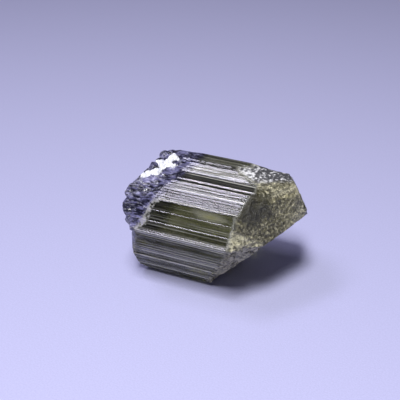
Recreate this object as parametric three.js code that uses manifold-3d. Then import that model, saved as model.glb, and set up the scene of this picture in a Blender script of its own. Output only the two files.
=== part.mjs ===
// A loose tourmaline crystal that lies on one of its prism faces.
//
// Units are millimetres, +Z is up and +X runs along the crystal from its dark, broken root to its
// pointed termination. The origin is under the middle of the crystal, on the surface it rests on.
//
// The prism is an extruded nine-sided outline with shallow growth ridges along it. Each flat or
// broken face at the two ends is cut with a block that stands just outside that face. The root end
// carries rounded lumps and hollows, and a notch with white mineral and two small crystals in it.

import * as THREE from 'three';
import { mergeVertices } from 'three/addons/utils/BufferGeometryUtils.js';
import Module from 'manifold-3d';

const wasm = await Module();
wasm.setup();

// Corners of the prism's outline in Y and Z, counter-clockwise seen from the tip.
const TOP_BACK = [3.18, 12.57];
const TOP_FRONT = [-2.58, 12.57];
const SHOULDER = [-5.18, 11.07];
const FRONT = [-6.84, 8.18];
const FOOT = [-2.54, 0.73];
const BASE_FRONT = [-1.26, 0];
const BASE_BACK = [3.43, 0];
const BACK_LOW = [5.95, 4.37];
const BACK_HIGH = [5.95, 7.76];

// Each prism face from one corner to the next, with the number of ridges along it and their depth.
const PRISM_FACES = [
  { name: 'top', from: TOP_BACK, to: TOP_FRONT, ridges: 9, depth: 0.07 },
  { name: 'shoulder', from: TOP_FRONT, to: SHOULDER, ridges: 6, depth: 0.09 },
  { name: 'front', from: SHOULDER, to: FRONT, ridges: 5, depth: 0.05 },
  { name: 'lower_front', from: FRONT, to: FOOT, ridges: 14, depth: 0.07 },
  { name: 'foot', from: FOOT, to: BASE_FRONT, ridges: 2, depth: 0.04 },
  { name: 'base', from: BASE_FRONT, to: BASE_BACK, ridges: 0, depth: 0 },
  { name: 'lower_back', from: BASE_BACK, to: BACK_LOW, ridges: 8, depth: 0.07 },
  { name: 'back', from: BACK_LOW, to: BACK_HIGH, ridges: 6, depth: 0.06 },
  { name: 'upper_back', from: BACK_HIGH, to: TOP_BACK, ridges: 9, depth: 0.07 },
];

// The prism is made longer than the crystal, and the end faces are then cut from it.
const BAR_START = -5.2;
const BAR_END = 14;

// End faces. Each one is the flat where X = at + perY * Y + perZ * Z, and it faces along +X at the
// tip and along -X at the root.
const TIP_FACES = [
  { name: 'main termination face', at: 15.51, perY: 0.668, perZ: -0.428 },
  { name: 'back termination face', at: 17.04, perY: -0.66, perZ: -0.443 },
  { name: 'under termination face', at: 3.26, perY: 0.2455, perZ: 0.9201 },
  { name: 'broken lower face', at: 4.71, perY: 0.852, perZ: 1.0355 },
  { name: 'broken front corner', at: 15.15, perY: 0.745, perZ: -0.345 },
  { name: 'small face at the tip', at: 11.95, perY: 0, perZ: 0 },
];
const ROOT_FACES = [
  { name: 'root, upper bevel', at: -14.35, perY: 0, perZ: 0.82 },
  { name: 'root, front bevel', at: -7.75, perY: -0.92, perZ: -0.25 },
  { name: 'root, back corner', at: -7.18, perY: 0.6, perZ: 0.15 },
  { name: 'root, foot corner', at: -4.25, perY: 0, perZ: -1.1 },
];

// The etched corner at the top of the tip drops slowly below the top face.
const ETCHED_FACE = { point: [5.39, 3.3, 12.57], normal: [0.0822, 0.062, 1] };

// Hollows broken out of the two ends, and dark lumps grown onto the root: middle and reach.
const HOLLOWS = [
  { at: [-4.2, 2.1, 12.75], reach: [1.15, 1.5, 0.85] },
  { at: [-4.7, 1.2, 12.2], reach: [0.9, 2.2, 0.8] },
  { at: [-3.9, -7.2, 8.3], reach: [0.8, 0.7, 0.8] },
  { at: [-5.9, -2.6, 6.2], reach: [1.0, 2.3, 1.8] },
  { at: [-5.9, 1.4, 3.4], reach: [1.1, 1.7, 2.2] },
  { at: [-5.3, 3.2, 9.0], reach: [1.6, 1.9, 1.7] },
  { at: [-6.1, -3.9, 10.4], reach: [1.05, 1.0, 0.9] },
  { at: [7.9, -6.9, 9.7], reach: [0.95, 0.7, 0.8] },
  { at: [6.3, -6.1, 6.2], reach: [0.9, 0.7, 0.9] },
];
const ROOT_LUMPS = [
  { at: [-3.55, 2.7, 11.86], reach: [0.68, 0.66, 0.62] },
  { at: [-4.2, 2.25, 11.75], reach: [0.66, 0.7, 0.66] },
  { at: [-4.3, 1.1, 11.5], reach: [0.55, 0.6, 0.6] },
];

// White mineral: flattened blobs that run from the top face over the edge onto the shoulder.
const ALBITE_BLOBS = [
  { at: [-2.95, 1.4, 12.05], reach: [0.75, 0.8, 0.48] },
  { at: [-2.85, 0.55, 12.05], reach: [0.9, 0.85, 0.5] },
  { at: [-3.5, 0.0, 11.98], reach: [0.6, 0.85, 0.5] },
  { at: [-2.4, -0.4, 12.1], reach: [0.75, 0.5, 0.42] },
  { at: [-3.1, -1.25, 11.95], reach: [0.5, 0.8, 0.45] },
  { at: [-3.45, -2.05, 11.95], reach: [0.8, 0.7, 0.5] },
  { at: [-4.0, -2.6, 11.75], reach: [0.55, 0.5, 0.42] },
];

// The small crystals are short, rounded prisms: middle, length, radius and the way they lean.
const OUTER_SMALL = { at: [-4.1, -0.65, 12.0], length: 1.15, radius: 0.52, lean: [0.35, 0.5, 0.3] };
const INNER_SMALL = { at: [-2.3, 0.6, 12.08], length: 1.05, radius: 0.42, lean: [0.15, 1.25, 0.2] };

// The clearance between a piece and the seat it grew in.
const SEAT_CLEARANCE = 0.1;

// The notch is open above the white mineral.
const NOTCH_MOUTH = [
  { at: [-2.75, 0.6, 12.75], reach: [1.4, 1.6, 0.8] },
  { at: [-3.6, -0.9, 12.7], reach: [1.05, 1.3, 0.95] },
  { at: [-3.5, -2.0, 12.6], reach: [1.0, 1.0, 0.75] },
  { at: [-4.15, -2.7, 12.2], reach: [0.75, 0.75, 0.6] },
];

/** Turn a three.js geometry into a closed solid with shared corners. */
function solid(geometry) {
  let shape = geometry.clone();
  for (const name of ['normal', 'uv']) {
    shape.deleteAttribute(name);
  }
  shape = mergeVertices(shape, 1e-5);
  const triangles = new Uint32Array(shape.index.array);
  const corners = new Float32Array(shape.attributes.position.array);
  return new wasm.Manifold(new wasm.Mesh({ numProp: 3, vertProperties: corners, triVerts: triangles }));
}

/** Turn a closed solid back into a flat-shaded three.js geometry. */
function geometryOf(body) {
  const mesh = body.getMesh();
  const geometry = new THREE.BufferGeometry();
  geometry.setAttribute('position', new THREE.BufferAttribute(new Float32Array(mesh.vertProperties), 3));
  geometry.setIndex(new THREE.BufferAttribute(new Uint32Array(mesh.triVerts), 1));
  geometry.computeVertexNormals();
  return geometry;
}

/** Points of the prism's outline, with rounded ridges of uneven width standing along each face. */
function prismOutline() {
  const points = [];
  for (const face of PRISM_FACES) {
    const start = new THREE.Vector2(...face.from);
    const end = new THREE.Vector2(...face.to);
    const along = end.clone().sub(start);
    const inward = new THREE.Vector2(-along.y, along.x).normalize();
    points.push(start);
    for (let ridge = 1; ridge < face.ridges; ridge += 1) {
      const place = (ridge + 0.22 * Math.sin(ridge * 2.4 + face.depth * 90)) / face.ridges;
      const halfWidth = 0.28 / face.ridges;
      const depth = face.depth * (0.65 + 0.35 * Math.sin(ridge * 4.1));
      const left = start.clone().addScaledVector(along, place - halfWidth);
      const bottom = start.clone().addScaledVector(along, place).addScaledVector(inward, depth);
      const right = start.clone().addScaledVector(along, place + halfWidth);
      points.push(left, bottom, right);
    }
  }
  return points;
}

/** The ridged prism along X, before its ends are cut. */
function prismBar() {
  const outline = new THREE.Shape(prismOutline());
  const bar = new THREE.ExtrudeGeometry(outline, { depth: BAR_END - BAR_START, bevelEnabled: false });
  const alongX = new THREE.Matrix4().makeBasis(
    new THREE.Vector3(0, 1, 0),
    new THREE.Vector3(0, 0, 1),
    new THREE.Vector3(1, 0, 0),
  );
  bar.applyMatrix4(alongX);
  bar.translate(BAR_START, 0, 0);
  return solid(bar);
}

/** A big block that stands just outside a flat face: taking it away leaves that face. */
function blockOutside(point, normal) {
  const size = 60;
  const block = new THREE.BoxGeometry(size, size, size);
  block.translate(0, 0, size / 2);
  const turn = new THREE.Quaternion().setFromUnitVectors(
    new THREE.Vector3(0, 0, 1),
    new THREE.Vector3(...normal).normalize(),
  );
  block.applyQuaternion(turn);
  block.translate(...point);
  return solid(block);
}

/** A knobbly ball: an icosahedron whose corners are pushed in and out a little. */
function knob({ at, reach }, clearance = 0) {
  const ball = new THREE.IcosahedronGeometry(1, 2);
  const corners = ball.attributes.position;
  const corner = new THREE.Vector3();
  for (let i = 0; i < corners.count; i += 1) {
    corner.fromBufferAttribute(corners, i);
    const wave = Math.sin(3.1 * corner.x + at[1]) + Math.sin(3.7 * corner.y + at[0]);
    const ripple = Math.sin(4.3 * corner.z + at[2]);
    corner.multiplyScalar(1 + 0.05 * (wave + ripple));
    corners.setXYZ(i, corner.x, corner.y, corner.z);
  }
  ball.scale(...reach.map((length) => length + clearance));
  ball.translate(...at);
  return solid(ball);
}

/** A small six-sided crystal with low pointed ends, grown by the given clearance. */
function smallCrystal({ at, length, radius, lean }, clearance) {
  const half = length / 2 + clearance;
  const wide = radius + clearance;
  const profile = [
    new THREE.Vector2(0, -half),
    new THREE.Vector2(wide * 0.62, -half * 0.86),
    new THREE.Vector2(wide, -half * 0.5),
    new THREE.Vector2(wide * 1.04, half * 0.45),
    new THREE.Vector2(wide * 0.66, half * 0.84),
    new THREE.Vector2(0, half),
  ];
  const crystal = new THREE.LatheGeometry(profile, 7);
  crystal.rotateX(lean[0]);
  crystal.rotateY(lean[1]);
  crystal.rotateZ(lean[2]);
  crystal.translate(...at);
  return solid(crystal);
}

/** The blobs of white mineral joined together, each grown by the given clearance. */
function albiteBody(clearance) {
  const blobs = ALBITE_BLOBS.map((blob) => knob(blob, clearance));
  return blobs.reduce((joined, blob) => joined.add(blob));
}

/** The main crystal with both ends cut and its root lumps grown on, before the notch is made. */
function mainCrystal() {
  let body = prismBar();
  for (const { at, perY, perZ } of TIP_FACES) {
    body = body.subtract(blockOutside([at, 0, 0], [1, -perY, -perZ]));
  }
  for (const { at, perY, perZ } of ROOT_FACES) {
    body = body.subtract(blockOutside([at, 0, 0], [-1, perY, perZ]));
  }
  body = body.subtract(blockOutside(ETCHED_FACE.point, ETCHED_FACE.normal));
  for (const hollow of HOLLOWS) {
    body = body.subtract(knob(hollow));
  }
  for (const lump of ROOT_LUMPS) {
    body = body.add(knob(lump));
  }
  return body;
}

/** A named mesh with its own colour and surface. */
function namedMesh(name, body, colour, roughness) {
  const material = new THREE.MeshStandardMaterial({ color: colour, roughness, metalness: 0 });
  const mesh = new THREE.Mesh(geometryOf(body), material);
  mesh.name = name;
  return mesh;
}

const outerSmall = smallCrystal(OUTER_SMALL, 0);
const innerSmall = smallCrystal(INNER_SMALL, 0);
const outerSeat = smallCrystal(OUTER_SMALL, SEAT_CLEARANCE);
const innerSeat = smallCrystal(INNER_SMALL, SEAT_CLEARANCE);
const aboveTop = blockOutside([0, 0, TOP_FRONT[1] - 0.03], [0, 0, 1]);
const albite = albiteBody(0).subtract(outerSeat).subtract(innerSeat).subtract(aboveTop);
const seats = albiteBody(SEAT_CLEARANCE).add(outerSeat).add(innerSeat);
const notch = NOTCH_MOUTH.reduce((joined, mouth) => joined.add(knob(mouth)), seats);
const crystal = mainCrystal().subtract(notch);

const tourmaline = new THREE.Group();
tourmaline.name = 'tourmaline';
tourmaline.add(namedMesh('tourmaline_crystal', crystal, 0x6b6a4c, 0.25));
tourmaline.add(namedMesh('albite_matrix', albite, 0xe4e6ea, 0.7));
tourmaline.add(namedMesh('outer_small_crystal', outerSmall, 0x23232f, 0.3));
tourmaline.add(namedMesh('inner_small_crystal', innerSmall, 0x23232f, 0.3));

// Stand the group so that the origin is under the middle of its box, on the resting surface.
const box = new THREE.Box3().setFromObject(tourmaline);
const middle = box.getCenter(new THREE.Vector3());
for (const mesh of tourmaline.children) {
  mesh.geometry.translate(-middle.x, -middle.y, -box.min.z);
}

export default tourmaline;
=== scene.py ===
"""A loose tourmaline crystal on a pale studio floor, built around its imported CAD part.

The main crystal is one closed, ridged prism with an etched tip and a dark, broken root. White
mineral and two small crystals sit in a notch at the root. All shape numbers are in millimetres, in
the crystal's own axes: X along the prism towards the tip, Z up from the surface it rests on.
"""

import math

import bmesh
import bpy
import numpy as np
from bpy.props import FloatProperty, FloatVectorProperty, PointerProperty
from mathutils import Euler, Matrix, Vector


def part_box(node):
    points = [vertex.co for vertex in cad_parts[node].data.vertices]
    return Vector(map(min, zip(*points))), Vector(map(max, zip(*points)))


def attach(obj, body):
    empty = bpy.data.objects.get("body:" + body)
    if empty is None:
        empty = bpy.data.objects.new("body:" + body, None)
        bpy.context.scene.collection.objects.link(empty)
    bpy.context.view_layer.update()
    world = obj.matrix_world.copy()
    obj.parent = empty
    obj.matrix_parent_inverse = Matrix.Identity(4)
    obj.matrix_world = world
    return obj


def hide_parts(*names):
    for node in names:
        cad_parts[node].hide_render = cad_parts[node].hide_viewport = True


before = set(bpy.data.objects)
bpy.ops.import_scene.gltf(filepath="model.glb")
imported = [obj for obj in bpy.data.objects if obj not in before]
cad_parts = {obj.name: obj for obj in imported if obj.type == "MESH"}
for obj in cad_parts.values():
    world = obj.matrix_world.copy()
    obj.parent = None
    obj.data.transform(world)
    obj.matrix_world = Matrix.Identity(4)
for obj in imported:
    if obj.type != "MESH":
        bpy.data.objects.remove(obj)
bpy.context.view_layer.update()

bl_info = {
    "name": "Tourmaline Crystal",
    "version": (1, 0, 0),
    "blender": (4, 5, 0),
    "location": "View3D > Sidebar > Tourmaline",
    "description": "Builds a ridged tourmaline crystal with white mineral at its root",
    "category": "Add Mesh",
}

MM = 0.001

# ------------ the crystal's faces

# Corners of the prism's outline in Y and Z, counter-clockwise seen from the tip.
TOP_BACK = (3.18, 12.57)
TOP_FRONT = (-2.58, 12.57)
SHOULDER = (-5.18, 11.07)
FRONT = (-6.84, 8.18)
FOOT = (-2.54, 0.73)
BASE_FRONT = (-1.26, 0.0)
BASE_BACK = (3.43, 0.0)
BACK_LOW = (5.95, 4.37)
BACK_HIGH = (5.95, 7.76)

# The prism faces in turn, the first from TOP_BACK: the corner each runs to and its bands of growth
# ridges. A band is (start, end, ridges, steep, rise, uneven, set in at start, set in at end): start
# and end are shares of the face's width, a ridge sinks by steep times its own width and comes back
# over the share called rise, and the band as a whole lies below the flat face by the last two
# numbers. worn_and_highlight is how far the pale crest colour goes, which is wear and painted
# highlight lines along the ridges' crests, 1 where nothing is given.
PRISM_FACES = [
    {"to": TOP_FRONT, "bands": [
        (0.0, 0.28, 6, 0.05, 0.30, 0.6, 0.0, 0.0),
        (0.28, 0.50, 5, 0.56, 0.16, 0.35, 0.0, 0.0),
        (0.50, 0.54, 1, 0.0, 0.3, 0.0, 0.0, 0.0),
        (0.54, 0.70, 3, 0.60, 0.16, 0.35, 0.0, 0.0),
        (0.70, 0.725, 1, 0.0, 0.3, 0.0, 0.0, 0.10),
        (0.725, 0.97, 4, 0.03, 0.3, 0.5, 0.10, 0.10),
        (0.97, 1.0, 1, 0.0, 0.3, 0.0, 0.10, 0.22),
    ]},
    {"to": SHOULDER, "bands": [
        (0.0, 0.14, 1, 0.0, 0.3, 0.0, 0.20, 0.0),
        (0.14, 0.94, 8, 0.09, 0.35, 0.30, 0.0, 0.0),
        (0.94, 1.0, 1, 0.0, 0.3, 0.0, 0.0, 0.03),
    ]},
    {"to": FRONT, "worn_and_highlight": 0.18, "bands": [
        (0.0, 0.30, 4, 0.025, 0.12, 0.6, 0.0, 0.03),
        (0.30, 0.315, 1, 0.0, 0.3, 0.0, 0.03, 0.006),
        (0.315, 0.64, 4, 0.025, 0.12, 0.6, 0.006, 0.05),
        (0.64, 0.662, 1, 0.0, 0.3, 0.0, 0.05, 0.015),
        (0.662, 0.93, 4, 0.025, 0.12, 0.6, 0.015, 0.06),
        (0.93, 0.955, 1, 0.0, 0.3, 0.0, 0.06, 0.02),
        (0.955, 0.975, 1, 0.0, 0.3, 0.0, 0.02, 0.035),
        (0.975, 1.0, 1, 0.0, 0.3, 0.0, 0.035, 0.0),
    ]},
    {"to": FOOT, "worn_and_highlight": 2.3, "bands": [
        (0.0, 0.10, 2, 0.12, 0.10, 0.2, 0.0, 0.0),
        (0.10, 1.0, 19, 0.13, 0.12, 0.85, 0.0, 0.0),
    ]},
    {"to": BASE_FRONT, "bands": [(0.0, 1.0, 4, 0.10, 0.3, 0.6, 0.0, 0.0)]},
    {"to": BASE_BACK, "bands": [(0.0, 1.0, 2, 0.0, 0.5, 0.0, 0.0, 0.0)]},
    {"to": BACK_LOW, "bands": [(0.0, 1.0, 13, 0.14, 0.6, 0.7, 0.0, 0.0)]},
    {"to": BACK_HIGH, "bands": [(0.0, 1.0, 10, 0.14, 0.5, 0.6, 0.0, 0.0)]},
    {"to": TOP_BACK, "bands": [(0.0, 1.0, 15, 0.13, 0.45, 0.7, 0.0, 0.0)]},
]

# End faces: each is the flat where X = at + per_y * Y + per_z * Z.
MAIN_TIP_FACE = (15.51, 0.668, -0.428)
BACK_TIP_FACE = (17.04, -0.66, -0.443)
UNDER_TIP_FACE = (3.26, 0.2455, 0.9201)
BROKEN_LOWER_FACE = (4.71, 0.852, 1.0355)
BROKEN_CORNER = (15.15, 0.745, -0.345)
TIP_TRUNCATION = (11.95, 0.0, 0.0)
TOP_TIP_BEVEL = (21.2, 0.668, -0.9)
ROOT_END = -5.2
ROOT_FACES = [
    (-14.29, 0.06, 0.82),
    (-8.10, -0.92, -0.25),
    (-7.18, 0.6, 0.15),
    (-4.25, 0.0, -1.1),
]
CLEAR_TIP_FACES = (MAIN_TIP_FACE, BACK_TIP_FACE, UNDER_TIP_FACE, TOP_TIP_BEVEL, TIP_TRUNCATION)
BROKEN_TIP_FACES = (BROKEN_LOWER_FACE, BROKEN_CORNER)

# The lowest corner of the crystal's box, and a box in Y and Z that holds the whole outline.
LOWEST_CORNER = np.array([ROOT_END, FRONT[0], 0.0])
OUTLINE_LOW = (-7, 0)
OUTLINE_HIGH = (6, 12.6)

# Where the end faces are drawn in to, in Y and Z.
TIP_MIDDLE = (0.85, 9.6)
ROOT_MIDDLE = (0.2, 6.6)

# The way in from the upper front face, in Y and Z.
UPPER_FRONT_IN = (0.5, -0.867)

# How far from the root and from the tip the rings round the prism lie close together.
NEAR_ROOT = 3.6
NEAR_TIP = 1.4

# The top's far corner is a second flat that slopes down: (drop per mm, a place on its edge), in X
# and in Y.
TOP_SLOPE_X = (0.0822, 5.39)
TOP_SLOPE_Y = (0.062, 3.3)

# How deep a ridge is for its depth in the bands; how far from its crest wear and painted highlight reach.
USUAL_SWELL = 0.92
WEAR_AND_HIGHLIGHT_REACH = 0.04

# Where the rough corner of the top begins: X for each Y.
ROUGH_TOP_Y = (-2.58, -1.2, 0.1, 0.9, 2.0, 2.5, 3.3)
ROUGH_TOP_X = (7.80, 7.15, 6.30, 4.60, 4.30, 5.20, 5.70)

# Where the dark root ends on the prism: X level with the shoulder, and how it leans from there.
ROOT_EDGE_X = -1.95
ROOT_EDGE_LEAN_ABOVE = 1.08
ROOT_EDGE_LEAN_BELOW = 0.47

# The line in Y and Z under which the front corner of the tip is broken: Z = height - lean * (Y - y).
BROKEN_FRONT = {"height": 9.93, "lean": 1.1135, "y": -5.75}

# The ledge low on the root: how deep it is, and the heights and the places across it fades over.
ROOT_LEDGE = {"depth": 0.55, "heights": (7.35, 7.85), "across": (-5.0, -3.9)}

# Soft spots on the crystal: how strong, then the middle and the reach along the axes that count.
# Painted shade in the recess at the upper front of the etched tip.
HOLLOW_PAINTED_SHADE = [{"strength": 1.0, "y": (-3.6, 1.3), "z": (11.7, 1.2)}]
# Spots of pale grains on the rough top corner and of painted glints on the etched tip.
WHITE_GRAINS_AND_GLINTS = [
    {"strength": 1.0, "x": (5.2, 1.1), "y": (1.2, 0.9)},
    {"strength": 0.7, "x": (7.4, 0.45), "y": (-0.9, 1.1)},
    {"strength": 1.0, "x": (8.6, 0.75), "y": (-0.9, 0.7)},
]
CLOUDS = [
    {"strength": 1.25, "x": (4.3, 1.5), "z": (10.6, 0.35)},
    {"strength": 2.2, "x": (-3.3, 1.2), "z": (5.9, 0.6)},
    {"strength": 1.6, "x": (2.4, 1.4), "z": (2.4, 0.9)},
]


def value_noise(points, size, seed):
    """Smooth noise from -1 to 1 at points, with features about size across."""
    cell = points / size
    base = np.floor(cell).astype(np.int64)
    part = cell - base
    part = part * part * (3 - 2 * part)
    total = np.zeros(len(points))
    for corner in np.ndindex(2, 2, 2):
        place = base + corner
        key = place[:, 0] * 73856093 ^ place[:, 1] * 19349663 ^ place[:, 2] * 83492791
        key = (key ^ (seed * 97531)) & 0x7FFFFFFF
        key = ((key ^ (key >> 13)) * 1274126177) & 0x7FFFFFFF
        level = ((key ^ (key >> 16)) & 0xFFFF) / 32767.5 - 1
        weight = np.where(corner, part, 1 - part).prod(axis=1)
        total += level * weight
    return total


def layered_noise(points, size, seed, layers=3):
    """Several sizes of noise together, each half as large and half as strong as the one before."""
    total = np.zeros(len(points))
    for layer in range(layers):
        total += value_noise(points, size / 2**layer, seed + layer) / 2**layer
    return total


def faceted(points, count, seed):
    """A surface over Y and Z of many small tilted flats that meet at creases."""
    rng = np.random.default_rng(seed)
    middles = rng.uniform(OUTLINE_LOW, OUTLINE_HIGH, (count, 2))
    slopes = rng.normal(0, 0.45, (count, 2))
    apart = np.sqrt(np.prod(np.subtract(OUTLINE_HIGH, OUTLINE_LOW)) / count)
    highest = np.full(len(points), -np.inf)
    for middle, slope in zip(middles, slopes):
        away = points - middle
        level = away @ slope - 0.35 * (away**2).sum(axis=1) / apart
        highest = np.maximum(highest, level)
    return highest


def smooth_step(low, high, value):
    """0 below low, 1 above high, smooth between."""
    share = np.clip((value - low) / (high - low), 0, 1)
    return share * share * (3 - 2 * share)


def flat_at(face, y, z):
    """X of an end face at Y and Z."""
    at, per_y, per_z = face
    return at + per_y * y + per_z * z


def terraces(level, step):
    """Turn a smooth level into flat steps with steep sides."""
    count = level / step
    whole = np.floor(count)
    return step * (whole + smooth_step(0.55, 0.95, count - whole))


def soft_spots(points, spots):
    """Spots that fade out from their middles, added up."""
    axes = dict(zip("xyz", points.T))
    total = np.zeros(len(points))
    for spot in spots:
        away = 0
        for axis, values in axes.items():
            if axis in spot:
                middle, reach = spot[axis]
                away = away + ((values - middle) / reach) ** 2
        total += spot["strength"] * np.exp(-away)
    return total


def rough_top(points):
    """1 on the etched, stepped corner of the top face, 0 on the clear rest of it."""
    x, y, z = points.T
    edge = np.interp(y, ROUGH_TOP_Y, ROUGH_TOP_X)
    wander = 0.22 * layered_noise(points, 0.6, 81, 2)
    on_top = smooth_step(11.3, 11.8, z) * smooth_step(-3.4, -2.7, y)
    return smooth_step(-0.12, 0.22, x - edge + wander) * on_top


def tip_levels(y, z):
    """X of every tip face at Y and Z, clear ones first and broken ones last."""
    return np.stack([flat_at(face, y, z) for face in CLEAR_TIP_FACES + BROKEN_TIP_FACES])


def broken_tip(y, z):
    """1 where the tip is broken, 0 where it is etched crystal face."""
    levels = tip_levels(y, z)
    past_break = levels[len(CLEAR_TIP_FACES):].min(axis=0) - levels[0]
    low_face = 1 - smooth_step(-0.15, 0.10, past_break)
    line = BROKEN_FRONT["height"] - BROKEN_FRONT["lean"] * (y - BROKEN_FRONT["y"])
    front_corner = smooth_step(-0.1, 0.3, line - z) * smooth_step(-2.6, -3.6, y)
    return np.maximum(low_face, front_corner)


def tip_x(y, z, rough=True):
    """X of the tip surface at Y and Z, with its grain, pits and broken parts unless rough is off."""
    flat = tip_levels(y, z).min(axis=0)
    if not rough:
        return flat
    points = np.stack([flat, y, z], axis=1)
    place = np.stack([y, z], axis=1)
    grain = 0.045 * (1 + layered_noise(points, 0.40, 11, 3))
    hills = 0.12 * np.clip(layered_noise(points, 1.0, 21, 2), 0, 2)
    flats = np.clip(-0.45 * faceted(place, 900, 9), 0, 0.25)
    chips = 0.34 * np.clip(0.75 + layered_noise(points, 0.85, 31, 3), 0, 3)
    chips = terraces(np.clip(chips, 0, 1.1), 0.21) + 0.05 * (1 + value_noise(points, 0.3, 37))
    top = 0.10 * smooth_step(10.9, 12.4, z) * (1 + value_noise(points, 0.5, 41))
    from_edge = UPPER_FRONT_IN[0] * (y - SHOULDER[0]) + UPPER_FRONT_IN[1] * (z - SHOULDER[1])
    nicks = terraces(0.45 * np.clip(0.4 + layered_noise(points, 0.55, 43, 3), 0, 2), 0.16)
    nicks = nicks * (1 - smooth_step(0.1, 0.7, from_edge))
    return flat - (grain + hills + flats + top + nicks + broken_tip(y, z) * chips)


def root_x(y, z, rough=True):
    """X of the root's broken surface at Y and Z, with its lumps and steps unless rough is off."""
    levels = [flat_at(face, y, z) for face in ROOT_FACES]
    flat = np.maximum.reduce([np.full_like(y, ROOT_END)] + levels)
    ledge = (1 - smooth_step(*ROOT_LEDGE["heights"], z)) * (1 - smooth_step(*ROOT_LEDGE["across"], y))
    flat = flat + ROOT_LEDGE["depth"] * ledge
    if not rough:
        return flat
    points = np.stack([flat * 0, y, z], axis=1)
    steps = faceted(np.stack([y, z], axis=1), 260, 17)
    lumps = 0.22 * (1 + layered_noise(points, 1.5, 51, 3))
    return flat + np.clip(lumps - 0.75 * steps, 0, 1.4)


def root_edge(y, z):
    """X where the dark root ends and the clear prism starts."""
    above = np.maximum(z - SHOULDER[1], 0)
    below = np.minimum(z - SHOULDER[1], 0)
    points = np.stack([y * 0, y, z], axis=1)
    wander = 0.22 * layered_noise(points, 0.8, 71, 3)
    return ROOT_EDGE_X + ROOT_EDGE_LEAN_ABOVE * above + ROOT_EDGE_LEAN_BELOW * below + wander


def prism_outline():
    """Outline points, the way in, how far the band lies in, ridge depth, ridge number, crest wear and
    highlight.
    """
    rng = np.random.default_rng(7)
    rows = []
    ridge_id = 0
    start = np.array(TOP_BACK)
    for face in PRISM_FACES:
        along = np.array(face["to"]) - start
        inward = np.array([-along[1], along[0]]) / np.linalg.norm(along)
        for band_start, band_end, ridges, steep, rise, uneven, set_in, set_in_end in face["bands"]:
            band_width = (band_end - band_start) * np.linalg.norm(along)
            widths = rng.uniform(1 - 0.7 * uneven, 1 + 1.3 * uneven, ridges)
            edges = np.concatenate([[0], np.cumsum(widths) / widths.sum()])
            for low, high in zip(edges[:-1], edges[1:]):
                depth = rng.uniform(1 - 0.6 * uneven, 1 + 1.1 * uneven)
                sink = steep * (high - low) * band_width * depth
                turn = 1 - rise * rng.uniform(0.9, 1.1)
                # Pale crest colour per ridge: wear and painted highlight lines.
                wear_and_highlight = face.get("worn_and_highlight", 1.0) * (rng.uniform(0, 1) ** 3 if ridges > 3 else 1.0)
                for part in (0, 0.35, 0.7, 1.0):
                    share = low + (high - low) * min(part * turn, 0.98)
                    place = start + along * (band_start + (band_end - band_start) * share)
                    lies_in = set_in + (set_in_end - set_in) * share
                    crest = wear_and_highlight * (part == 0)
                    rows.append((*place, *inward, lies_in, sink * part, ridge_id, crest))
                ridge_id += 1
        start = np.array(face["to"])
    return np.array(rows)


def crystal_rings():
    """Rings of points from the middle of the root, along the prism, to the middle of the tip."""
    outline = prism_outline()
    flat_y, flat_z, in_y, in_z, lies_in, depth, ridge, _ = outline.T
    rng = np.random.default_rng(3)
    phase = rng.uniform(0, 2 * np.pi, (2, int(ridge.max()) + 1))[:, ridge.astype(int)]

    def ring(x):
        """Outline at X with its ridges, which swell and fade slowly along the prism."""
        swell = USUAL_SWELL + 0.10 * np.sin(x * 0.4 + phase[0]) + 0.05 * np.sin(x * 0.9 + phase[1])
        points = np.stack([x, flat_y, flat_z], axis=1)
        root = 1 - smooth_step(-1.5, -0.2, x - root_edge(flat_y, flat_z))
        root = root * (0.3 + 0.7 * smooth_step(0.3, 1.2, flat_z))
        stretched = points * np.array([0.45, 1, 1])
        lumpy = 0.13 * (1 + layered_noise(stretched, 0.62, 53, 2))
        lumpy = terraces(lumpy, 0.09) + 0.03 * (1 + value_noise(points, 0.3, 57))
        inset = lies_in + depth * swell + root * lumpy
        return np.stack([x, flat_y + in_y * inset, flat_z + in_z * inset], axis=1)

    def end_ring(middle, share, end_x):
        """The outline drawn in towards a middle, on an end surface."""
        y = middle[0] + (flat_y - middle[0]) * share
        z = middle[1] + (flat_z - middle[1]) * share
        return np.stack([end_x(y, z), y, z], axis=1)

    low = root_x(flat_y, flat_z)
    high = tip_x(flat_y, flat_z)
    near_root = np.linspace(0, NEAR_ROOT, 34)
    near_tip = np.linspace(NEAR_TIP, 0, 8)
    rings = [end_ring(ROOT_MIDDLE, share, root_x) for share in np.linspace(0.04, 0.96, 24)]
    rings += [ring(low + step) for step in near_root]
    for share in np.linspace(0, 1, 14)[1:-1]:
        rings.append(ring((low + NEAR_ROOT) * (1 - share) + (high - NEAR_TIP) * share))
    rings += [ring(high - step) for step in near_tip]
    rings += [end_ring(TIP_MIDDLE, share, tip_x) for share in np.linspace(0.98, 0.02, 66)]
    rings = np.array(rings)
    points = rings.reshape(-1, 3)
    drop_x = TOP_SLOPE_X[0] * (points[:, 0] - TOP_SLOPE_X[1])
    drop_y = TOP_SLOPE_Y[0] * (points[:, 1] - TOP_SLOPE_Y[1])
    top = TOP_BACK[1] - np.maximum(drop_x + drop_y, 0)
    steps = terraces(0.10 * (1 + layered_noise(points, 0.9, 83, 2)), 0.07)
    steps = steps + 0.05 * (1 + value_noise(points, 0.3, 87))
    points[:, 2] = np.minimum(points[:, 2], top) - rough_top(points) * steps
    return points.reshape(rings.shape)


def to_frame(points):
    """Crystal axes in millimetres to the part's frame in metres."""
    low = np.array(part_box("tourmaline_crystal")[0])
    return (points - LOWEST_CORNER) * MM + low


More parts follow.
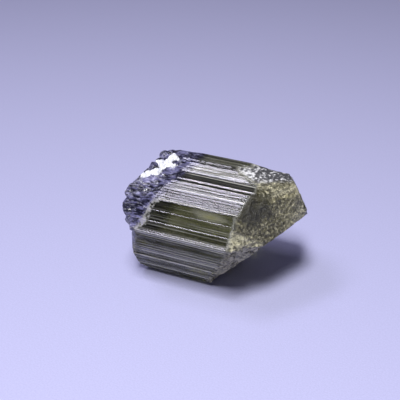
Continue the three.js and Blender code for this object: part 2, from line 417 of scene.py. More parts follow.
def tube_mesh(name, rings):
    """A closed mesh from rings of equal length, closed with one point at each end."""
    count, around = rings.shape[:2]
    points = rings.reshape(-1, 3)
    ends = np.stack([rings[0].mean(axis=0), rings[-1].mean(axis=0)])
    points = np.concatenate([points, ends])
    index = np.arange(count * around).reshape(count, around)
    turned = np.roll(index, -1, axis=1)
    quads = np.stack([index[:-1], turned[:-1], turned[1:], index[1:]], axis=2).reshape(-1, 4)
    first = [(count * around, b, a) for a, b in zip(index[0], turned[0])]
    last = [(count * around + 1, a, b) for a, b in zip(index[-1], turned[-1])]
    mesh = bpy.data.meshes.new(name)
    mesh.from_pydata(to_frame(points).tolist(), [], quads.tolist() + first + last)
    mesh.validate()
    return mesh


# ------------ lumps, notch and small pieces

# The knobs that shape the notch, the root and the white mineral: (middle, reach along each axis).
HOLLOWS = [
    ((-4.2, 2.1, 12.75), (1.15, 1.5, 0.85)),
    ((-4.7, 1.2, 12.2), (0.9, 2.2, 0.8)),
]
ROOT_LUMPS = [
    ((-3.55, 2.7, 11.86), (0.68, 0.66, 0.62)),
    ((-4.2, 2.25, 11.75), (0.66, 0.7, 0.66)),
    ((-4.3, 1.1, 11.5), (0.55, 0.6, 0.6)),
]
NOTCH_MOUTH = [
    ((-2.75, 0.6, 12.75), (1.4, 1.6, 0.8)),
    ((-3.6, -0.9, 12.7), (1.05, 1.3, 0.95)),
    ((-3.5, -2.0, 12.6), (1.0, 1.0, 0.75)),
    ((-4.15, -2.7, 12.2), (0.75, 0.75, 0.6)),
]
ALBITE_BLOBS = [
    ((-2.95, 1.4, 12.05), (0.75, 0.8, 0.48)),
    ((-2.85, 0.55, 12.05), (0.9, 0.85, 0.5)),
    ((-3.5, 0.0, 11.98), (0.6, 0.85, 0.5)),
    ((-2.4, -0.4, 12.1), (0.75, 0.5, 0.42)),
    ((-3.1, -1.25, 11.95), (0.5, 0.8, 0.45)),
    ((-3.45, -2.05, 11.95), (0.8, 0.7, 0.5)),
    ((-4.0, -2.6, 11.75), (0.55, 0.5, 0.42)),
]
# The small crystals: (middle, length, radius, lean about each axis).
SMALL_CRYSTALS = {
    "outer_small_crystal": ((-4.1, -0.65, 12.0), 1.15, 0.52, (0.35, 0.5, 0.3)),
    "inner_small_crystal": ((-2.3, 0.6, 12.08), 1.05, 0.42, (0.15, 1.25, 0.2)),
}
# The small crystals' outline from end to end: places along half the length, and shares of the width.
SMALL_CRYSTAL_STATIONS = (-1, -0.86, -0.5, 0.45, 0.84, 1)
SMALL_CRYSTAL_WIDTHS = (0.02, 0.62, 1.0, 1.04, 0.66, 0.02)
SMALL_CRYSTAL_SIDES = 7

# Pockets in the white mineral, as knobs, that leave the tops of the small crystals bare.
ALBITE_POCKETS = [
    ((-4.05, -0.75, 12.5), (0.62, 0.55, 0.42)),
    ((-2.2, 0.55, 12.6), (0.62, 0.5, 0.36)),
]


def read_points(mesh):
    """A mesh's points as an array."""
    flat = np.empty(len(mesh.vertices) * 3)
    mesh.vertices.foreach_get("co", flat)
    return flat.reshape(-1, 3)


def own_axes(points):
    """The part's frame in metres to the crystal's axes in millimetres."""
    low = np.array(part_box("tourmaline_crystal")[0])
    return (points - low) / MM + LOWEST_CORNER


def write_points(mesh, points):
    """Put an array of points back into a mesh."""
    mesh.vertices.foreach_set("co", points.astype(np.float32).ravel())
    mesh.update()


def knob(at, reach, clearance=0.0, detail=5, rough=0.0, seed=0):
    """A knobbly ball in the crystal's axes, as an object in the part's frame."""
    shape = bmesh.new()
    bmesh.ops.create_icosphere(shape, subdivisions=detail, radius=1)
    mesh = bpy.data.meshes.new("knob")
    shape.to_mesh(mesh)
    shape.free()
    points = read_points(mesh)
    x, y, z = points.T
    wave = np.sin(3.1 * x + at[1]) + np.sin(3.7 * y + at[0]) + np.sin(4.3 * z + at[2])
    points = points * (1 + 0.05 * wave)[:, None]
    placed = points * (np.array(reach) + clearance) + np.array(at)
    if rough:
        placed = placed + points * (rough * layered_noise(placed, 0.35, seed, 3))[:, None]
    write_points(mesh, to_frame(placed))
    return link(bpy.data.objects.new("knob", mesh))


def link(thing):
    """Put an object in the scene."""
    bpy.context.scene.collection.objects.link(thing)
    return thing


def apply_modifiers(thing):
    """Replace an object's mesh with the mesh its modifiers make."""
    graph = bpy.context.evaluated_depsgraph_get()
    made = bpy.data.meshes.new_from_object(thing.evaluated_get(graph))
    thing.modifiers.clear()
    thing.data = made


def combine(thing, others, operation):
    """Join other closed meshes to an object, or cut them from it, and remove them."""
    for other in others:
        modifier = thing.modifiers.new(operation.lower(), "BOOLEAN")
        modifier.operation = operation
        modifier.solver = "MANIFOLD"
        modifier.object = other
        apply_modifiers(thing)
        bpy.data.objects.remove(other)


def set_value(mesh, name, values):
    """Keep one number for each point of a mesh, for its material to read."""
    attribute = mesh.attributes.new(name, "FLOAT", "POINT")
    attribute.data.foreach_set("value", values.astype(np.float32))


def crest_wear_and_highlight(points):
    """How pale each point is from wear and painted highlight lines, which run along the ridges' crests."""
    flat_y, flat_z, in_y, in_z, lies_in, depth, _, crest = prism_outline().T
    inset = lies_in + USUAL_SWELL * depth
    place = np.stack([flat_y + in_y * inset, flat_z + in_z * inset], axis=1)
    wear_and_highlight = np.zeros(len(points))
    for some in np.array_split(np.arange(len(points)), 40):
        apart = np.linalg.norm(points[some, None, 1:] - place[None], axis=2)
        nearest = apart.argmin(axis=1)
        wear_and_highlight[some] = crest[nearest] * (apart[np.arange(len(some)), nearest] < WEAR_AND_HIGHLIGHT_REACH)
    return wear_and_highlight


def mark_crystal(mesh):
    """Keep the numbers the material reads: where the crystal is etched, dark, broken or pale, and where
    shade and glints are painted on its tip.
    """
    points = own_axes(read_points(mesh))
    x, y, z = points.T
    past_tip = tip_x(y, z, rough=False) - x
    broken = broken_tip(y, z)
    near_top = smooth_step(11.0, 11.9, z)
    top = rough_top(points)

    front_rim = smooth_step(-4.9, -5.3, y) * (1 - broken)
    rim = 0.34 + 0.35 * broken + 0.25 * front_rim + 0.4 * near_top
    frost = 1 - smooth_step(rim - 0.08, rim + 0.2, past_tip)
    set_value(mesh, "etched", np.maximum(frost, top))
    set_value(mesh, "broken_tip", broken * frost)
    set_value(mesh, "rough_top", top)
    set_value(mesh, "grey_top", top * smooth_step(-0.6, 0.5, y - 0.1 - 0.75 * (x - 7.6)))
    # Spots of pale grains on the rough top and of painted glints on the etched tip.
    set_value(mesh, "white_grains", soft_spots(points, WHITE_GRAINS_AND_GLINTS) * smooth_step(11.6, 12.1, z))

    # Depth under the tip's flat face, for painted shade in the pits.
    depth = np.clip((past_tip - 0.45 * near_top) / 0.6, 0, 1)
    set_value(mesh, "tip_depth", depth * (x > 0) * (1 - top))
    high_rim = smooth_step(11.6, 12.2, z)
    set_value(mesh, "grey_rim", np.maximum(smooth_step(10.2, 11.6, x), 0.7 * high_rim))
    # Tone of the etched tip: random patches, painted shade in the recess, paler towards the tip's end and a
    # little paler at the top.
    tone_and_shade = 0.42 + 0.26 * layered_noise(points, 1.3, 91, 2) - 0.8 * soft_spots(points, HOLLOW_PAINTED_SHADE)
    tone_and_shade = tone_and_shade + 0.34 * smooth_step(9.8, 11.4, x) + 0.05 * smooth_step(11.6, 12.1, z)
    set_value(mesh, "tip_shade", tone_and_shade)

    set_value(mesh, "crest", crest_wear_and_highlight(points))
    set_value(mesh, "cloudy", soft_spots(points, CLOUDS) * smooth_step(-2.5, -3.0, y))
    on_front = smooth_step(8.05, 8.3, z) * (1 - smooth_step(10.85, 11.05, z))
    set_value(mesh, "front", on_front * smooth_step(-4.8, -5.1, y))
    set_value(mesh, "scuffed", smooth_step(8.3, 8.0, z) * smooth_step(-1.5, -2.5, y))

    edge = root_edge(y, z)
    fade = 0.25 + 1.6 * smooth_step(10.9, 11.5, z)
    set_value(mesh, "dark_root", 1 - smooth_step(-fade, fade, x - edge))
    set_value(mesh, "broken_root", 1 - smooth_step(0.3, 1.2, x - root_x(y, z, rough=False)))
    by_front = smooth_step(7.9, 8.3, z) * (1 - smooth_step(11.0, 11.4, z))
    by_front = by_front * (1 - smooth_step(-4.6, -4.2, y))
    seam = np.exp(-(((x - edge - 0.25) / 0.45) ** 2)) * by_front
    set_value(mesh, "pale_break", seam * (0.80 + 0.3 * layered_noise(points, 0.5, 75, 2)))


def small_crystal_object(name, at, length, radius, lean, clearance, seed):
    """A short, ridged crystal with rounded, pitted ends, as an object in the part's frame."""
    around, rings = 84, 40
    half = length / 2 + clearance
    wide = radius + clearance
    turn = np.linspace(0, 2 * np.pi, around, endpoint=False)
    half_side = np.pi / SMALL_CRYSTAL_SIDES
    sides = np.cos(half_side) / np.cos((turn % (2 * half_side)) - half_side)
    ridges = 1 - 0.035 * np.abs(np.sin(turn * 3 * SMALL_CRYSTAL_SIDES + 0.8 * np.sin(turn * 3)))
    rows = []
    for share in np.linspace(-1, 1, rings):
        width = np.interp(share, SMALL_CRYSTAL_STATIONS, SMALL_CRYSTAL_WIDTHS) * wide
        ring = width * sides * ridges
        along = np.full(around, share * half)
        rows.append(np.stack([ring * np.cos(turn), along, ring * np.sin(turn)], axis=1))
    points = np.array(rows).reshape(-1, 3)
    inward = layered_noise(points, 0.3, seed, 3) * 0.03 - 0.03
    points = points * (1 + inward / wide)[:, None]
    rotation = np.array(Euler(lean, "XYZ").to_matrix())
    points = points @ rotation.T + np.array(at)
    mesh = tube_mesh(name, points.reshape(rings, around, 3))
    return link(bpy.data.objects.new(name, mesh))


def albite_object():
    """The sugary white mineral: blobs fused together, roughened, with seats for the small crystals."""
    body = knob(*ALBITE_BLOBS[0], detail=4)
    combine(body, [knob(*blob, detail=4) for blob in ALBITE_BLOBS[1:]], "UNION")
    remesh = body.modifiers.new("fuse", "REMESH")
    remesh.mode = "VOXEL"
    remesh.voxel_size = 0.038 * MM
    apply_modifiers(body)
    points = own_axes(read_points(body.data))
    normals = np.empty(len(points) * 3)
    body.data.vertices.foreach_get("normal", normals)
    sugar = 0.06 * layered_noise(points, 0.20, 91, 2) - 0.07
    sugar = sugar + terraces(0.24 * layered_noise(points, 0.5, 95, 2), 0.09)
    points = points + normals.reshape(-1, 3) * sugar[:, None]
    write_points(body.data, to_frame(points))
    seats = []
    for number, (seat, shape) in enumerate(SMALL_CRYSTALS.items()):
        seats.append(small_crystal_object(seat + "_seat", *shape, clearance=0.03, seed=number + 1))
    pockets = [knob(*pocket, detail=4, rough=0.05, seed=97) for pocket in ALBITE_POCKETS]
    combine(body, seats + pockets, "DIFFERENCE")
    return body


# ------------ materials


def add_node(tree, kind, inputs=None, **settings):
    """A shader node with its settings; an input is a number, a colour or another node's socket."""
    node = tree.nodes.new(kind)
    for name, value in settings.items():
        setattr(node, name, value)
    for name, value in (inputs or {}).items():
        socket = node.inputs[name]
        if isinstance(value, bpy.types.NodeSocket):
            tree.links.new(value, socket)
        elif socket.type == "RGBA":
            socket.default_value = (*value, 1)
        else:
            socket.default_value = value
    return node


def math_node(tree, operation, first, second=0.0, clamp=False):
    """The result of one sum on one or two numbers or sockets."""
    inputs = {0: first, 1: second}
    return add_node(tree, "ShaderNodeMath", inputs, operation=operation, use_clamp=clamp).outputs[0]


def both(tree, first, *others):
    """Two or more shares multiplied together."""
    for other in others:
        first = math_node(tree, "MULTIPLY", first, other)
    return first


def either(tree, first, *others):
    """The largest of two or more shares."""
    for other in others:
        first = math_node(tree, "MAXIMUM", first, other)
    return first


def mix_number(tree, share, low, high):
    """A number between two, by share."""
    inputs = {0: share, 2: low, 3: high}
    return add_node(tree, "ShaderNodeMix", inputs, data_type="FLOAT").outputs[0]


def mix_colour(tree, share, low, high):
    """A colour between two, by share."""
    inputs = {0: share, 6: low, 7: high}
    return add_node(tree, "ShaderNodeMix", inputs, data_type="RGBA").outputs[2]


def ramp(tree, value, low, high):
    """0 where value is low or less, 1 where it is high or more."""
    inputs = {"Value": value, "From Min": low, "From Max": high}
    return add_node(tree, "ShaderNodeMapRange", inputs, clamp=True).outputs[0]


def spread(tree, value, noise, strength):
    """A number made ragged by noise that runs from 0 to 1."""
    ragged = both(tree, math_node(tree, "SUBTRACT", noise, 0.5), strength)
    return math_node(tree, "ADD", value, ragged)


def thin_lines(tree, noise, outer, inner):
    """1 along the thin lines where noise crosses its middle value, 0 away from them."""
    off_middle = math_node(tree, "ABSOLUTE", math_node(tree, "SUBTRACT", noise, 0.5))
    return ramp(tree, off_middle, outer, inner)


def kept_value(tree, name):
    """A number kept on the mesh's points."""
    return add_node(tree, "ShaderNodeAttribute", attribute_name=name).outputs["Fac"]


def noise_node(tree, place, size_mm, detail=3.0, stretch=(1, 1, 1), roughness=0.55):
    """Noise from 0 to 1 with features of a size in millimetres, stretched along the axes."""
    scale = [1 / (size_mm * MM * share) for share in stretch]
    scaled = add_node(tree, "ShaderNodeVectorMath", {0: place, 1: scale}, operation="MULTIPLY")
    inputs = {"Vector": scaled.outputs[0], "Scale": 1.0, "Detail": detail, "Roughness": roughness}
    return add_node(tree, "ShaderNodeTexNoise", inputs).outputs["Fac"]


def cell_node(tree, place, size_mm):
    """Distance from the middle of the nearest cell, for cells of a size in millimetres."""
    inputs = {"Vector": place, "Scale": 1 / (size_mm * MM)}
    return add_node(tree, "ShaderNodeTexVoronoi", inputs).outputs["Distance"]


def bump_node(tree, height, distance_mm, strength=1.0, normal=None):
    """A bump of a height in millimetres, laid over another bump if one is given."""
    inputs = {"Height": height, "Distance": distance_mm * MM, "Strength": strength}
    if normal is not None:
        inputs["Normal"] = normal
    return add_node(tree, "ShaderNodeBump", inputs).outputs["Normal"]


def new_material(name):
    """An empty node material, its tree and the place on the object."""
    material = bpy.data.materials.new(name)
    material.use_nodes = True
    tree = material.node_tree
    tree.nodes.clear()
    place = add_node(tree, "ShaderNodeTexCoord").outputs["Object"]
    return material, tree, place


def finish_material(tree, surface, volume=None):
    """Join the surface, and what fills the inside, to the material's output."""
    output = add_node(tree, "ShaderNodeOutputMaterial", {"Surface": surface.outputs[0]})
    if volume is not None:
        tree.links.new(volume.outputs[0], output.inputs["Volume"])


def prism_colour(tree, place, look, lines):
    """Colour of the clear prism with its worn crests and painted highlight lines and its clouds, and how
    solid those are.
    """
    clouds = noise_node(tree, place, 1.1, 3, (3.2, 1, 0.8))
    green = mix_colour(tree, ramp(tree, clouds, 0.40, 0.62), look.clear_green, look.clear_tint)
    clear = mix_colour(tree, ramp(tree, lines, 0.35, 0.65), green, look.clear_tint)

    # Hairlines and crest colour are pale wear and painted highlight lines along the ridges.
    hairlines = ramp(tree, noise_node(tree, place, 0.13, 3, (120, 1, 1)), 0.53, 0.66)
    crest = spread(tree, kept_value(tree, "crest"), noise_node(tree, place, 0.5, 3, (3, 1, 1)), 0.7)
    worn_and_highlight = either(tree, ramp(tree, crest, 0.35, 0.8), both(tree, hairlines, 0.24))
    worn_and_highlight = both(tree, worn_and_highlight, look.crest_haze_and_highlight)
    clear = mix_colour(tree, worn_and_highlight, clear, look.crest_pale_and_highlight)

    scuffs = ramp(tree, noise_node(tree, place, 0.6, 4, (4, 1, 1)), 0.40, 0.65)
    scuffs = both(tree, scuffs, kept_value(tree, "scuffed"), 0.17)
    cloudy = spread(tree, kept_value(tree, "cloudy"), noise_node(tree, place, 0.5, 4, (3, 1, 1)), 1.2)
    cloudy = either(tree, both(tree, ramp(tree, cloudy, 0.15, 2.0), 0.45), scuffs)
    clear = mix_colour(tree, ramp(tree, cloudy, 0.0, 0.30), clear, look.cloud_pale)
    return clear, either(tree, worn_and_highlight, cloudy)


def tip_colour(tree, place, look):
    """Olive grains of the etched tip with painted shade, painted glints and painted glint lines, and its
    chips; and the share of the glint lines.
    """
    flecks = noise_node(tree, place, 0.30, 5, roughness=0.68)
    # Random tone of the grains, with the painted shade of the recess.
    tone_and_shade = ramp(tree, spread(tree, kept_value(tree, "tip_shade"), flecks, 2.2), 0.22, 0.86)
    pale_fleck = mix_colour(tree, kept_value(tree, "grey_rim"), look.etched_pale, look.etched_grey)
    olive = mix_colour(tree, tone_and_shade, look.etched_dark_and_shade, pale_fleck)
    lit = ramp(tree, tone_and_shade, 0.1, 0.5)

    # Painted glints: bright specks and thin bright curved lines, where the tip's tone is light.
    grains = both(tree, kept_value(tree, "white_grains"), 0.12)
    sparkle = math_node(tree, "ADD", noise_node(tree, place, 0.24, 2), grains)
    glint = both(tree, ramp(tree, sparkle, 0.65, 0.72), lit)
    olive = mix_colour(tree, glint, olive, look.etched_painted_glint)
    painted_glint_lines = thin_lines(tree, noise_node(tree, place, 0.55, 3, roughness=0.6), 0.018, 0.006)
    painted_glint_lines = both(tree, painted_glint_lines, ramp(tree, flecks, 0.40, 0.55), lit)
    olive = mix_colour(tree, painted_glint_lines, olive, look.etched_painted_glint)
    # Painted shade deep in the pits of the tip.
    pit_shade = ramp(tree, kept_value(tree, "tip_depth"), 0.25, 0.9)
    olive = mix_colour(tree, pit_shade, olive, look.etched_pit_shade)

    # Broken tip: painted shade in crevices between pale chips.
    chips = ramp(tree, noise_node(tree, place, 0.38, 5, roughness=0.68), 0.42, 0.56)
    chipped = mix_colour(tree, 0.45, mix_colour(tree, chips, look.etched_pit_shade, look.chip_pale), olive)
    broken = ramp(tree, kept_value(tree, "broken_tip"), 0.2, 0.7)
    return mix_colour(tree, broken, olive, chipped), painted_glint_lines


def rough_top_colour(tree, place, look):
    """Painted shade in the hollows, and pale grains with painted glints, of the rough top corner, spread by
    noise.
    """
    grains = both(tree, kept_value(tree, "white_grains"), 0.17)
    speckle = math_node(tree, "ADD", noise_node(tree, place, 0.34, 4), grains)
    return mix_colour(tree, ramp(tree, speckle, 0.53, 0.64), look.top_hollow_shade, look.top_grains_and_glints)


def root_colour(tree, place, look, patches):
    """Blue-black root with duller streaks and fine pale arcs of painted glint."""
    streaks = noise_node(tree, place, 0.24, 5, (3.2, 1, 1))
    streaky = ramp(tree, spread(tree, streaks, noise_node(tree, place, 1.2, 3), 0.55), 0.42, 0.66)
    dark = mix_colour(tree, streaky, look.root_dark, look.root_pale)
    curls = noise_node(tree, place, 0.75, 3, (1.6, 1, 1), 0.6)
    glint_arcs = both(tree, thin_lines(tree, curls, 0.014, 0.004), ramp(tree, patches, 0.45, 0.60))
    return mix_colour(tree, glint_arcs, dark, look.root_glint_arcs)


def tourmaline_material(look):
    """Clear olive prism with a frosted tip, an opaque blue-black root and a pale break between."""
    material, tree, place = new_material("tourmaline")
    patches = noise_node(tree, place, 0.7, 4)
    grain = noise_node(tree, place, 0.22, 3)
    lines = noise_node(tree, place, 0.08, 2, (400, 1, 1))

    ragged = noise_node(tree, place, 0.8, 4, (2.5, 1, 1))
    root_soft = spread(tree, kept_value(tree, "dark_root"), ragged, 0.9)
    root = ramp(tree, root_soft, 0.32, 0.72)
    root_tone = ramp(tree, root_soft, 0.15, 0.40)
    root_rough = ramp(tree, root_soft, 0.85, 1.2)
    pale = ramp(tree, spread(tree, kept_value(tree, "pale_break"), grain, 1.6), 0.42, 0.85)
    frosted = either(tree, kept_value(tree, "etched"), both(tree, kept_value(tree, "broken_root"), 0.6))

    clear, clear_solid = prism_colour(tree, place, look, lines)
    olive, painted_glint_lines = tip_colour(tree, place, look)
    grey = rough_top_colour(tree, place, look)
    dusty = mix_colour(tree, kept_value(tree, "grey_top"), olive, grey)
    colour = mix_colour(tree, frosted, clear, dusty)
    colour = mix_colour(tree, root_tone, colour, root_colour(tree, place, look, patches))
    colour = mix_colour(tree, pale, colour, look.break_pale)

    thin_haze, thick_haze = 0.55 * look.etched_haze, 1.35 * look.etched_haze
    hazy = mix_number(tree, ramp(tree, grain, 0.35, 0.65), thin_haze, thick_haze)
    hazy = mix_number(tree, kept_value(tree, "rough_top"), hazy, 0.85)
    hazy = mix_number(tree, kept_value(tree, "broken_tip"), hazy, 0.75)
    hazy = both(tree, frosted, either(tree, hazy, painted_glint_lines))
    solid = either(tree, root, both(tree, pale, 0.85), hazy, clear_solid)
    transmission = math_node(tree, "SUBTRACT", 1.0, solid, clamp=True)

    smears = ramp(tree, noise_node(tree, place, 0.6, 3, (3.5, 0.6, 0.6)), 0.42, 0.62)
    smears = both(tree, smears, kept_value(tree, "front"))
    smooth = mix_number(tree, smears, mix_number(tree, lines, 0.02, 0.11), 0.34)
    rough = mix_number(tree, frosted, smooth, mix_number(tree, grain, 0.18, 0.5))
    rough = mix_number(tree, root, rough, mix_number(tree, patches, 0.07, 0.26))
    rough = mix_number(tree, pale, rough, 0.6)

    clean = math_node(tree, "SUBTRACT", 1.0, frosted, clamp=True)
    fine_lines = bump_node(tree, lines, 0.012, clean)
    sugary = noise_node(tree, place, 0.30, 5, roughness=0.72)
    pitted = bump_node(tree, sugary, 0.20, frosted, fine_lines)
    root_grain = noise_node(tree, place, 0.24, 4, (3.0, 1, 1))

    surface = add_node(tree, "ShaderNodeBsdfPrincipled", {
        "Base Color": colour,
        "Roughness": rough,
        "IOR": look.ior,
        "Transmission Weight": transmission,
        "Normal": bump_node(tree, root_grain, 0.13, root_rough, pitted),
    })
    inside = add_node(tree, "ShaderNodeVolumeAbsorption", {
        "Color": look.inside_colour,
        "Density": look.inside_density,
    })
    finish_material(tree, surface, inside)
    return material


def dark_material(look):
    """Opaque blue-black tourmaline with fine growth lines and a few dull patches."""
    material, tree, place = new_material("dark_tourmaline")
    patches = noise_node(tree, place, 0.4, 4)
    fine = noise_node(tree, place, 0.09, 3, (1, 3, 1))
    colour = mix_colour(tree, ramp(tree, patches, 0.4, 0.75), look.root_dark, look.root_pale)
    normal = bump_node(tree, fine, 0.03, 0.7)
    surface = add_node(tree, "ShaderNodeBsdfPrincipled", {
        "Base Color": colour,
        "Roughness": mix_number(tree, patches, 0.12, 0.4),
        "IOR": look.ior,
        "Normal": bump_node(tree, patches, 0.06, 0.6, normal),
    })
    finish_material(tree, surface)
    return material


def albite_material(look):
    """White mineral with sugary grain, faint grey veins and a slight sparkle."""
    material, tree, place = new_material("albite")
    grains = cell_node(tree, place, 0.16)
    veins = noise_node(tree, place, 0.6, 5)
    colour = mix_colour(tree, ramp(tree, veins, 0.52, 0.72), look.white, look.vein)
    colour = mix_colour(tree, ramp(tree, grains, 0.45, 0.75), colour, look.vein)
    normal = bump_node(tree, grains, 0.05, 0.8)
    surface = add_node(tree, "ShaderNodeBsdfPrincipled", {
        "Base Color": colour,
        "Roughness": mix_number(tree, noise_node(tree, place, 0.12, 2), 0.3, 0.75),
        "IOR": look.ior,
        "Normal": bump_node(tree, noise_node(tree, place, 0.1, 3), 0.03, 0.6, normal),
    })
    finish_material(tree, surface)
    return material


def floor_material(stage):
    """Smooth pale paper with a faint grain."""
    material, tree, place = new_material("pale_paper")
    grain = ramp(tree, noise_node(tree, place, 0.16, 2), 0.35, 0.65)
    shaded = [0.93 * part for part in stage.floor_colour]
    colour = mix_colour(tree, grain, shaded, stage.floor_colour)
    surface = add_node(tree, "ShaderNodeBsdfPrincipled", {
        "Base Color": colour,
        "Roughness": 0.75,
        "Specular IOR Level": 0.2,
        "Normal": bump_node(tree, grain, 0.02, 0.3),
    })
    finish_material(tree, surface)
    return material


# ------------ settings shown in the sidebar


def colour_setting(name, description, default):
    """A colour, as shares of red, green and blue."""
    return FloatVectorProperty(name=name, description=description, subtype="COLOR", default=default)


def number_setting(name, description, default, unit="NONE", subtype="NONE"):
    """A number, with its unit or subtype where one fits."""
    kind = {"unit": unit, "subtype": subtype}
    return FloatProperty(name=name, description=description, default=default, **kind)


class TourmalineLook(bpy.types.PropertyGroup):
    """Colours and clearness of the tourmaline."""

    ior: number_setting("Refractive index", "How strongly the crystal bends light", 1.63)
    clear_tint: colour_setting("Clear tint", "Surface tint of the clear prism", (0.96, 0.94, 0.86))
    clear_green: colour_setting("Clear green", "Tint of the prism's greener clouds", (0.52, 0.56, 0.42))
    inside_colour: colour_setting("Inside", "Colour that light takes on inside", (0.62, 0.63, 0.34))
    inside_density: number_setting("Inside density", "How fast light is absorbed, per metre", 290.0)
    # The crest haze and crest colour paint wear and highlight lines along the ridge crests.
    crest_haze_and_highlight: number_setting("Crest haze", "Light the worn crests scatter back", 0.8, subtype="FACTOR")
    crest_pale_and_highlight: colour_setting("Crest", "Colour of worn ridge crests", (0.80, 0.785, 0.745))
    cloud_pale: colour_setting("Clouds", "Cloudy patches just under the surface", (0.41, 0.40, 0.20))
    etched_haze: number_setting("Etched haze", "Light the etched tip scatters back", 0.40, subtype="FACTOR")
    # The dark grains also carry the painted shade of the tip's recess.
    etched_dark_and_shade: colour_setting("Etched, dark", "Darker grains of the etched tip", (0.040, 0.036, 0.010))
    etched_pale: colour_setting("Etched, pale", "Paler grains of the etched tip", (0.38, 0.345, 0.165))
    etched_grey: colour_setting("Etched, grey", "Paler grains along the tip's rim", (0.40, 0.385, 0.30))
    # Painted glints and glint lines of the etched tip.
    etched_painted_glint: colour_setting("Etched, glint", "Palest specks of the tip", (0.85, 0.79, 0.52))
    # Painted shade in the pits of the etched tip and the crevices of its chips.
    etched_pit_shade: colour_setting("Etched, pits", "Deep in the pits of the tip", (0.045, 0.045, 0.025))
    chip_pale: colour_setting("Chips", "Pale chips where the tip is broken", (0.92, 0.87, 0.60))
    # Painted shade of the rough top's hollows, and its pale grains with painted glints.
    top_hollow_shade: colour_setting("Rough top, dark", "Hollows of the rough top corner", (0.07, 0.07, 0.075))
    top_grains_and_glints: colour_setting("Rough top, pale", "Crests of the rough top corner", (0.85, 0.85, 0.86))
    root_dark: colour_setting("Root, dark", "Deepest colour of the root", (0.006, 0.006, 0.016))
    root_pale: colour_setting("Root, pale", "Duller patches of the root", (0.165, 0.160, 0.295))
    # Painted glints on the root, drawn as fine pale arcs.
    root_glint_arcs: colour_setting("Root, arcs", "Fine pale arcs on the root", (0.50, 0.50, 0.62))
    break_pale: colour_setting("Break", "Pale bruised edge of the root", (0.29, 0.28, 0.335))


class AlbiteLook(bpy.types.PropertyGroup):
    """Colours and clearness of the white mineral."""

    ior: number_setting("Refractive index", "How strongly the grains mirror light", 1.53)
    white: colour_setting("White", "Main colour", (0.86, 0.87, 0.92))
    vein: colour_setting("Veins", "Colour between the grains", (0.55, 0.56, 0.62))


class StageSettings(bpy.types.PropertyGroup):
    """Floor, light and camera."""

    floor_size: number_setting("Floor size", "Length of each side of the floor", 1.6, "LENGTH")
    floor_colour: colour_setting("Floor colour", "Colour of the pale paper", (0.465, 0.465, 0.69))
    light_width: number_setting("Light width", "Short side of the main light", 0.040, "LENGTH")
    light_length: number_setting("Light length", "Long side of the main light", 0.060, "LENGTH")
    light_distance: number_setting("Light distance", "From the crystal to the light", 0.20, "LENGTH")
    light_power: number_setting("Light power", "Power of the main light", 0.49, "POWER")
    light_colour: colour_setting("Light colour", "Colour of the main light", (1.0, 1.0, 1.0))
    strip_width: number_setting("Strip width", "Short side of the long overhead light", 0.05, "LENGTH")
    strip_length: number_setting("Strip length", "Long side of the long overhead light", 0.10, "LENGTH")
    strip_distance: number_setting("Strip distance", "From the crystal to the light", 0.25, "LENGTH")
    strip_power: number_setting("Strip power", "Power of the long overhead light", 0.175, "POWER")
    strip_colour: colour_setting("Strip colour", "Colour of the overhead light", (0.84, 0.81, 1.0))
    room_light: number_setting("Room light", "Strength of the light from all round", 0.115)
    room_colour: colour_setting("Room colour", "Colour of the light from all round", (0.75, 0.75, 1.0))
    camera_turn: number_setting("Camera turn", "Turn about the Z axis", math.radians(24), subtype="ANGLE")
    camera_rise: number_setting("Camera rise", "Angle above the floor", math.radians(30), subtype="ANGLE")
    camera_distance: number_setting("Camera distance", "From the camera's target", 0.089, "LENGTH")
    camera_lens: number_setting("Lens", "Focal length in millimetres", 77.4, "CAMERA")
    camera_target: FloatVectorProperty(
        name="Camera target",
        description="The point the camera looks at",
        subtype="TRANSLATION",
        default=(-0.00258, 0.00045, 0.00885),
    )


# ------------ operators

# The point the lights face, in the part's frame and in metres, and the ways from it to each light.
LIT_POINT = (0, 0, 0.006)
MAIN_LIGHT_WAY = (0.13, -0.54, 1.0)
STRIP_LIGHT_WAY = (-0.35, -0.21, 0.90)

# How near to the camera things are still seen, in metres.
NEAREST_SEEN = 0.005

# Edges sharper than this stay sharp, in degrees.
CRYSTAL_SHARP_EDGE = 14
SMALL_CRYSTAL_SHARP_EDGE = 22


def place_piece(piece, name, material, sharp_degrees=None):
    """Name a finished piece, give it its material and let it stand for its CAD node."""
    piece.name = name + "_look"
    piece.data.name = name
    piece.data.materials.clear()
    piece.data.materials.append(material)
    for polygon in piece.data.polygons:
        polygon.material_index = 0
    piece.data.shade_smooth()
    if sharp_degrees is not None:
        piece.data.set_sharp_from_angle(angle=math.radians(sharp_degrees))
    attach(piece, "root")
    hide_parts(name)


class TOURMALINE_OT_crystal(bpy.types.Operator):
    """Build the ridged prism with its etched tip, broken root and notch."""

    bl_idname = "tourmaline.crystal"
    bl_label = "Main Crystal"

    def execute(self, context):
        mesh = tube_mesh("crystal", crystal_rings())
        crystal = link(bpy.data.objects.new("crystal", mesh))
        combine(crystal, [knob(*hollow) for hollow in HOLLOWS], "DIFFERENCE")
        combine(crystal, [knob(*lump, rough=0.03, seed=61) for lump in ROOT_LUMPS], "UNION")
        combine(crystal, [knob(*mouth, rough=0.03, seed=67) for mouth in NOTCH_MOUTH], "DIFFERENCE")
        seats = [knob(*blob, clearance=0.04) for blob in ALBITE_BLOBS]
        combine(crystal, seats, "DIFFERENCE")
        mark_crystal(crystal.data)
        material = tourmaline_material(context.scene.tourmaline_look)
        place_piece(crystal, "tourmaline_crystal", material, CRYSTAL_SHARP_EDGE)
        return {"FINISHED"}


class TOURMALINE_OT_albite(bpy.types.Operator):
    """Build the white mineral in the notch."""

    bl_idname = "tourmaline.albite"
    bl_label = "White Mineral"

    def execute(self, context):
        material = albite_material(context.scene.albite_look)
        place_piece(albite_object(), "albite_matrix", material)
        return {"FINISHED"}


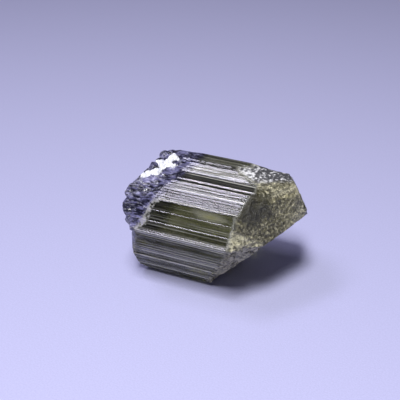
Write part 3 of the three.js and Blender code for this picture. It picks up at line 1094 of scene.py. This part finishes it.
class TOURMALINE_OT_small_crystals(bpy.types.Operator):
    """Build the small dark crystals that stand in the white mineral."""

    bl_idname = "tourmaline.small_crystals"
    bl_label = "Small Crystals"

    def execute(self, context):
        material = dark_material(context.scene.tourmaline_look)
        for number, (name, shape) in enumerate(SMALL_CRYSTALS.items()):
            piece = small_crystal_object(name, *shape, clearance=0, seed=number + 1)
            place_piece(piece, name, material, SMALL_CRYSTAL_SHARP_EDGE)
        return {"FINISHED"}


class TOURMALINE_OT_stage(bpy.types.Operator):
    """Set up the floor, the soft light and the camera."""

    bl_idname = "tourmaline.stage"
    bl_label = "Stage"

    def execute(self, context):
        settings = context.scene.tourmaline_stage
        half = settings.floor_size / 2
        mesh = bpy.data.meshes.new("floor")
        corners = [(-half, -half, 0), (half, -half, 0), (half, half, 0), (-half, half, 0)]
        mesh.from_pydata(corners, [], [(0, 1, 2, 3)])
        mesh.materials.append(floor_material(settings))
        floor = link(bpy.data.objects.new("floor", mesh))

        self.add_light("main_light", MAIN_LIGHT_WAY, settings, "light")
        self.add_light("strip_light", STRIP_LIGHT_WAY, settings, "strip")

        world = bpy.data.worlds.new("room")
        world.use_nodes = True
        background = world.node_tree.nodes["Background"]
        background.inputs["Color"].default_value = (*settings.room_colour, 1)
        background.inputs["Strength"].default_value = settings.room_light
        context.scene.world = world
        context.scene.view_settings.view_transform = "Standard"

        turn, rise = settings.camera_turn, settings.camera_rise
        level = math.cos(rise)
        back = Vector((math.sin(turn) * level, -math.cos(turn) * level, math.sin(rise)))
        camera_data = bpy.data.cameras.new("camera")
        camera_data.lens = settings.camera_lens
        camera_data.clip_start = NEAREST_SEEN
        camera = link(bpy.data.objects.new("camera", camera_data))
        camera.location = Vector(settings.camera_target) + back * settings.camera_distance
        camera.rotation_euler = back.to_track_quat("Z", "Y").to_euler()
        context.scene.camera = camera
        return {"FINISHED"}

    def add_light(self, name, way, settings, which):
        """A soft light that faces the crystal from the way given, its long side towards the back."""
        light = bpy.data.lights.new(name, "AREA")
        light.shape = "RECTANGLE"
        light.size = getattr(settings, which + "_width")
        light.size_y = getattr(settings, which + "_length")
        light.energy = getattr(settings, which + "_power")
        light.color = getattr(settings, which + "_colour")
        back = Vector(way).normalized()
        side = (Vector((1, 0, 0)) - back * back.x).normalized()
        lamp = link(bpy.data.objects.new(name, light))
        lamp.location = Vector(LIT_POINT) + back * getattr(settings, which + "_distance")
        lamp.rotation_euler = Matrix((side, back.cross(side), back)).transposed().to_euler()


class TOURMALINE_PT_panel(bpy.types.Panel):
    """Buttons for each piece and the stage."""

    bl_label = "Tourmaline"
    bl_idname = "TOURMALINE_PT_panel"
    bl_space_type = "VIEW_3D"
    bl_region_type = "UI"
    bl_category = "Tourmaline"

    def draw(self, context):
        layout = self.layout
        for step in STEPS:
            layout.operator(step.bl_idname)
        for group in SETTINGS:
            settings = getattr(context.scene, group)
            box = layout.box()
            for name in settings.bl_rna.properties.keys():
                if name not in ("rna_type", "name"):
                    box.prop(settings, name)


STEPS = (
    TOURMALINE_OT_crystal,
    TOURMALINE_OT_albite,
    TOURMALINE_OT_small_crystals,
    TOURMALINE_OT_stage,
)
SETTINGS = {
    "tourmaline_look": TourmalineLook,
    "albite_look": AlbiteLook,
    "tourmaline_stage": StageSettings,
}


def register():
    """Add the classes and the settings to Blender."""
    for settings in SETTINGS.values():
        bpy.utils.register_class(settings)
    for step in (*STEPS, TOURMALINE_PT_panel):
        bpy.utils.register_class(step)
    for name, settings in SETTINGS.items():
        setattr(bpy.types.Scene, name, PointerProperty(type=settings))


def unregister():
    """Take the settings and the classes out again."""
    for name in SETTINGS:
        delattr(bpy.types.Scene, name)
    for step in (TOURMALINE_PT_panel, *reversed(STEPS)):
        bpy.utils.unregister_class(step)
    for settings in SETTINGS.values():
        bpy.utils.unregister_class(settings)


def main():
    """Build everything in order."""
    register()
    bpy.ops.tourmaline.crystal()
    bpy.ops.tourmaline.albite()
    bpy.ops.tourmaline.small_crystals()
    bpy.ops.tourmaline.stage()


if __name__ == "__main__":
    main()
